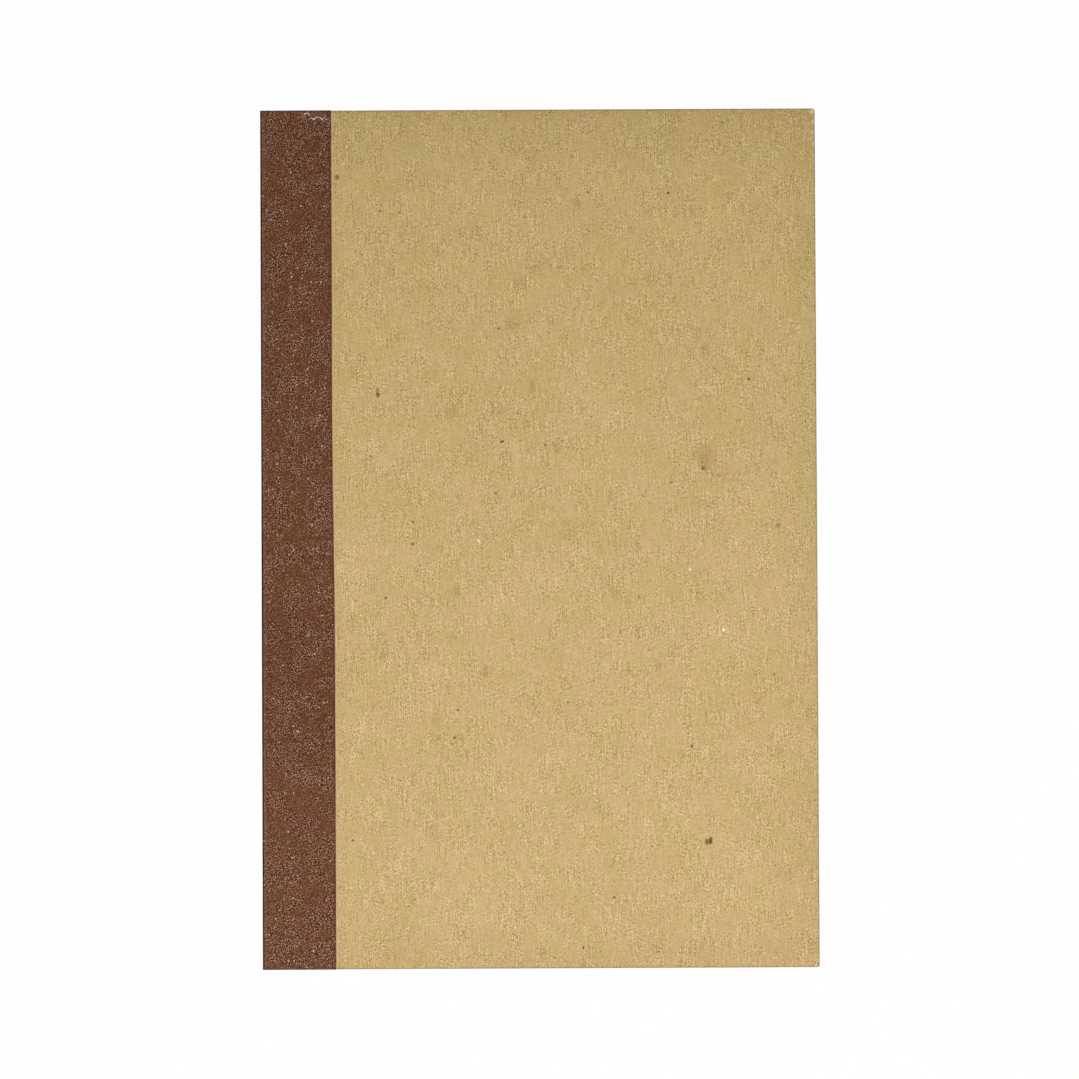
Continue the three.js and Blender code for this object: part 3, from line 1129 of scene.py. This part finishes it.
@dataclass
class BindingStrip:
    """The tape: one strip laid over the cover, folded down the spine and under the back board."""

    thickness: float
    fold_radius: float
    spine_x: float
    top_z: float
    crease_z: float
    length: float
    flap: float
    flap_edge: FlapEdge
    pitch: float = 0.8 * MM
    pucker: float = 0.035 * MM
    pucker_scales: tuple[float, float] = (120.0, 620.0)
    cut_wander: float = 0.05 * MM
    wander_scale: float = 95.0
    crease_reach: float = 0.4 * MM

    @property
    def straight(self) -> float:
        """How much of a flap lies flat, from its edge to its fold."""
        return self.flap - self.fold_radius

    @property
    def quarter(self) -> float:
        """The strip's length round one fold."""
        return math.pi / 2 * self.fold_radius

    @property
    def unrolled(self) -> float:
        """The strip's whole width before it was folded."""
        return 2 * (self.straight + self.quarter) + self.top_z - 2 * self.fold_radius

    def finish(self) -> BindingTape:
        """The tape's finish, fitted to its folds."""
        return BindingTape(
            self.unrolled, self.straight, self.straight + self.quarter, self.length, self.flap_edge, self.flap
        )

    def build(self) -> bpy.types.Object:
        """Builds the strip flat, wraps it over the spine and gives it its thickness.

        Returns:
            The tape, bending at its crease between the spine and the cover.
        """
        bm = bmesh.new()
        unrolled = self.unrolled
        bmesh.ops.create_grid(
            bm, x_segments=round(unrolled / self.pitch), y_segments=round(self.length / self.pitch), size=0.5
        )
        bmesh.ops.scale(bm, vec=(unrolled, self.length, 1.0), verts=bm.verts)
        bmesh.ops.translate(bm, vec=(unrolled / 2, 0.0, 0.0), verts=bm.verts)
        cut_across(bm, Vector((1, 0, 0)), self._fine_cuts())
        keep_rest_place(bm)
        for vert in bm.verts:
            vert.co = self._wrapped(vert.co)
        bmesh.ops.recalc_face_normals(bm, faces=bm.faces)
        self._face_outwards(bm)
        bmesh.ops.solidify(bm, geom=bm.faces[:], thickness=self.thickness)
        bmesh.ops.recalc_face_normals(bm, faces=bm.faces)
        piece = finished("binding_tape", bm, self.finish().material())
        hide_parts("front_tape", "spine_tape")
        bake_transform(piece)
        return piece

    def _fine_cuts(self) -> tuple[float, ...]:
        """Extra cuts across the two folds and the crease.

        Returns:
            Their distances along the unrolled strip.
        """
        fold_end = self.straight + self.quarter
        crease = fold_end + self.top_z - self.fold_radius - self.crease_z
        folds = steps(self.straight, fold_end, self.quarter / 8)
        back = tuple(self.unrolled - place for place in folds)
        bent = self.crease_reach + 0.05 * MM
        hinge = steps(crease - bent, crease + bent, bent / 5)
        return folds + back + hinge

    def _wrapped(self, flat: Vector) -> Vector:
        """Wraps a point of the strip round the spine.

        Args:
            flat: The point on the flat strip.

        Returns:
            Its place on the outside of the wrapped one.
        """
        radius = self.fold_radius
        along = min(flat.x, self.unrolled - flat.x)
        under = flat.x > self.unrolled / 2
        if along < self.straight:
            across, drop, normal = radius + self.straight - along, 0.0, Vector((0, 0, 1))
            across += self._edge_shift(flat.y, across, under)
        elif along < self.straight + self.quarter:
            turn = (along - self.straight) / radius
            across, drop = radius - radius * math.sin(turn), radius - radius * math.cos(turn)
            normal = Vector((-math.sin(turn), 0, math.cos(turn)))
        else:
            across, drop = 0.0, radius + along - self.straight - self.quarter
            normal = Vector((-1, 0, 0))
        height = drop if under else self.top_z - drop
        if under:
            normal.z = -normal.z
        rise = 0.0 if under and along < self.straight + self.quarter else self._rise(flat)
        return Vector((self.spine_x + across, flat.y, height)) + normal * rise

    def _edge_shift(self, along_spine: float, across: float, under: bool) -> float:
        """Finds how far a point of a flap is out of line: its edge runs off, and its cut wanders.

        Args:
            along_spine: The point's place along the spine.
            across: Its distance from the spine.
            under: Whether it is on the back board's flap.

        Returns:
            Its shift away from the spine.
        """
        seed = 3.1 if under else 0.4
        wander = noise.noise(Vector((along_spine * self.wander_scale, seed, 0.0))) * self.cut_wander
        drift = self.flap_edge.width(along_spine) - self.flap
        return (drift + wander) * (across / self.flap) ** 3

    def _rise(self, flat: Vector) -> float:
        """Height of the tape's slight puckers, outwards from its flat lie."""
        broad, fine = (noise.noise(flat * scale) * 0.5 + 0.5 for scale in self.pucker_scales)
        return self.pucker * (0.6 * broad + 0.4 * fine)

    @staticmethod
    def _face_outwards(bm: Shape) -> None:
        """Turns the open strip so that its faces look away from the pad.

        Args:
            bm: The strip's shape.
        """
        bm.faces.ensure_lookup_table()
        highest = max(bm.faces, key=lambda face: face.calc_center_median().z)
        if highest.normal.z < 0:
            bmesh.ops.reverse_faces(bm, faces=bm.faces)


@dataclass
class PaperBlock:
    """The glued block of sheets, each with closer cuts near the spine."""

    count: int
    bend: float = 9.0 * MM
    recess: float = 0.14 * MM
    air: float = 0.025 * MM  # left on each face, where the rough sheets don't touch
    edge_radius: float = 0.09 * MM
    pitch: float = 6.0 * MM
    bend_pitch: float = 0.55 * MM

    def build(self) -> list[bpy.types.Object]:
        """Builds the sheets from the top one down.

        Returns:
            The sheets.
        """
        material = ColdPressPaper(Plan.of("sheet_01")).material()
        return [self._sheet(number, material) for number in range(1, self.count + 1)]

    def _sheet(self, number: int, material: bpy.types.Material) -> bpy.types.Object:
        """Builds one sheet, trimmed a little unevenly, with closer cuts near the spine.

        Args:
            number: The sheet's number, from the top.
            material: The paper's material.

        Returns:
            The sheet.
        """
        node = f"sheet_{number:02d}"
        low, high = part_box(node)
        lots = (noise.noise(Vector((number * 1.7, side * 5.3, 0.5))) for side in range(3))
        trim = [self.recess * (lot * 0.5 + 0.5) for lot in lots]
        low_cut = low + Vector((0.0, trim[0], self.air))
        high_cut = high - Vector((trim[1], trim[2], self.air))
        bent_to = low.x + self.bend * 1.1
        cuts = steps(low.x, bent_to, self.bend_pitch) + (bent_to,) + steps(bent_to, high.x, self.pitch)
        slab = Slab(low_cut, high_cut, 0.0, self.edge_radius, cuts, steps(low.y, high.y, self.pitch))
        bm = slab.build()
        keep_rest_place(bm)
        piece = finished(f"paper_{number:02d}", bm, material)
        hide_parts(node)
        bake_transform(piece)
        return piece


@dataclass
class Studio:
    """A white sweep, soft lamps and the camera straight above the pad."""

    face_z: float
    frame_mm: float = PHOTO.width_px * PHOTO.mm_per_px
    lens_mm: float = 100.0
    sensor_mm: float = 36.0
    tilt_deg: float = 0.82
    floor_size: float = 8.0
    floor_gap: float = 0.02 * MM
    floor_tint: Colour = (0.98, 0.98, 0.98, 1.0)
    floor_white: float = 0.975  # how much of the floor is plain white to look at
    ambient: float = 0.52
    view_end: float = 50.0

    def build(self) -> None:
        """Sets up the world, the floor, the lamps and the camera."""
        bpy.context.scene.view_settings.view_transform = "Standard"
        self._world()
        self._floor()
        below = Vector((0.0, -0.088, 0.0))
        self._lamp("overhead_softbox", below + Vector((0.0, 0.0, 0.30)), below, (0.62, 0.12), 0.60)
        self._lamp("foot_softbox", Vector((0.22, -0.95, 0.80)), Vector((0.0, 0.0, 0.0)), (0.70, 0.70), 0.12)
        self._camera()

    @staticmethod
    def _seen_white(nodes: Sketch) -> Socket:
        """Picks the rays that should see plain white: the camera's, reflections and clear ones.

        Args:
            nodes: The sketch of the world or the floor.

        Returns:
            1 for these rays.
        """
        path = nodes.add("ShaderNodeLightPath").outputs
        seen = nodes.math("MAXIMUM", path["Is Camera Ray"], path["Is Glossy Ray"])
        return nodes.math("MAXIMUM", seen, path["Is Transmission Ray"])

    def _world(self) -> None:
        """A pale surround: white to look at, and a plain soft fill as light."""
        world = bpy.data.worlds.new("sweep")
        world.use_nodes = True
        bpy.context.scene.world = world
        nodes = Sketch(world.node_tree)
        background = world.node_tree.nodes["Background"]
        background.inputs["Color"].default_value = WHITE
        strength = nodes.ease(self._seen_white(nodes), 0.0, 1.0, self.ambient, 1.0)
        nodes.feed(background.inputs["Strength"], strength)

    def _floor(self) -> None:
        """A pale floor that keeps a trace of the pad's shadow."""
        bm = bmesh.new()
        bmesh.ops.create_grid(bm, x_segments=1, y_segments=1, size=self.floor_size / 2)
        bmesh.ops.translate(bm, vec=(0.0, 0.0, -self.floor_gap), verts=bm.verts)
        material = bpy.data.materials.new("floor")
        material.use_nodes = True
        nodes = Sketch(material.node_tree)
        output = material.node_tree.nodes["Material Output"]
        material.node_tree.nodes.remove(material.node_tree.nodes["Principled BSDF"])
        matte = nodes.add("ShaderNodeBsdfDiffuse", {"Color": self.floor_tint})
        white = nodes.add("ShaderNodeEmission")
        share = nodes.product(self._seen_white(nodes), self.floor_white)
        mixed = nodes.add("ShaderNodeMixShader", {0: share, 1: matte.outputs[0], 2: white.outputs[0]})
        nodes.feed(output.inputs["Surface"], mixed.outputs[0])
        floor = linked("floor", mesh_of("floor", bm, material))

    def _lamp(
        self, name: str, place: Vector, target: Vector, size: tuple[float, float], share: float
    ) -> None:
        """A soft lamp with a flat face.

        Args:
            name: The lamp's name.
            place: Where it hangs.
            target: The point that it faces.
            size: Its sides in metres, across the pad first.
            share: The light that a small lamp there would give the pad, where 1 shows a colour as written.
        """
        data = bpy.data.lights.new(name, "AREA")
        data.shape = "RECTANGLE"
        data.size, data.size_y = size
        away = place - target
        slope = away.normalized().z
        data.energy = share * math.pi ** 2 * away.length_squared / slope
        lamp = linked(name, data)
        lamp.location = place
        lamp.rotation_euler = away.to_track_quat("Z", "Y").to_euler()
        lamp.visible_camera = False

    def _camera(self) -> None:
        """The camera above the pad, tilted and turned as the photograph shows."""
        data = bpy.data.cameras.new("camera")
        data.lens = self.lens_mm
        data.sensor_width = self.sensor_mm
        data.clip_end = self.view_end
        camera = linked("camera", data)
        distance = self.frame_mm * MM * self.lens_mm / self.sensor_mm
        middle_px = PHOTO.width_px / 2
        aim = PHOTO.place(middle_px, middle_px)
        aim.z = self.face_z
        tilt = Matrix.Rotation(math.radians(self.tilt_deg), 4, "X")
        turn = Matrix.Rotation(-math.radians(PHOTO.turn_deg), 4, "Z")
        camera.matrix_world = Matrix.Translation(aim) @ turn @ tilt @ Matrix.Translation((0.0, 0.0, distance))
        bpy.context.scene.camera = camera


@dataclass
class Pad:
    """The whole pad: two boards, the block of sheets, the glue and the tape that binds them."""

    sheets: int

    def build(self) -> None:
        """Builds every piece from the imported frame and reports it."""
        tape_low, tape_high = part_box("spine_tape")
        flap_edge = FlapEdge(tape_low.x)
        kraft = Chipboard(
            "kraft_board", srgb(203, 175, 120), srgb(157, 128, 66), srgb(236, 210, 160), srgb(137, 125, 90),
            Plan.of("front_cover_board"), COVER_FLECKS, flap_edge,
        )
        grey = Chipboard(
            "back_board", srgb(186, 164, 126), srgb(142, 122, 88), srgb(216, 198, 160), srgb(142, 126, 98),
            Plan.of("back_board"),
        )
        cover = BoardCover("front_cover_board", Body.COVER, kraft, Slot.KRAFT_BOARD)
        back = BoardCover("back_board", Body.SPINE, grey, Slot.BACK_BOARD)
        strip = BindingStrip(
            thickness=0.25 * MM,
            fold_radius=0.64 * MM,
            spine_x=tape_low.x,
            top_z=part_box("front_tape")[1].z,
            crease_z=frame["joints"][0]["pos_m"][2],
            length=tape_high.y - tape_low.y,
            flap=tape_high.x - tape_low.x,
            flap_edge=flap_edge,
        )
        made = [cover.build(), back.build(), strip.build(), *PaperBlock(self.sheets).build()]
        for piece in made:
            LOG.info("%s: %d faces", piece.name, len(piece.data.polygons))
        glue = PaddingGlue().material()
        for node in ("spine_glue", "cover_edge_glue"):
            frame["nodes"][node].data.materials.clear()
            frame["nodes"][node].data.materials.append(glue)
            LOG.info("%s: dressed", node)


def main() -> None:
    """Builds the studio and the pad."""
    logging.basicConfig(level=logging.INFO, format="%(name)s: %(message)s")
    sheets = sum(node.startswith("sheet_") for node in frame["nodes"])
    Studio(face_z=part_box("front_cover_board")[1].z).build()
    Pad(sheets).build()


if __name__ == "__main__":
    main()
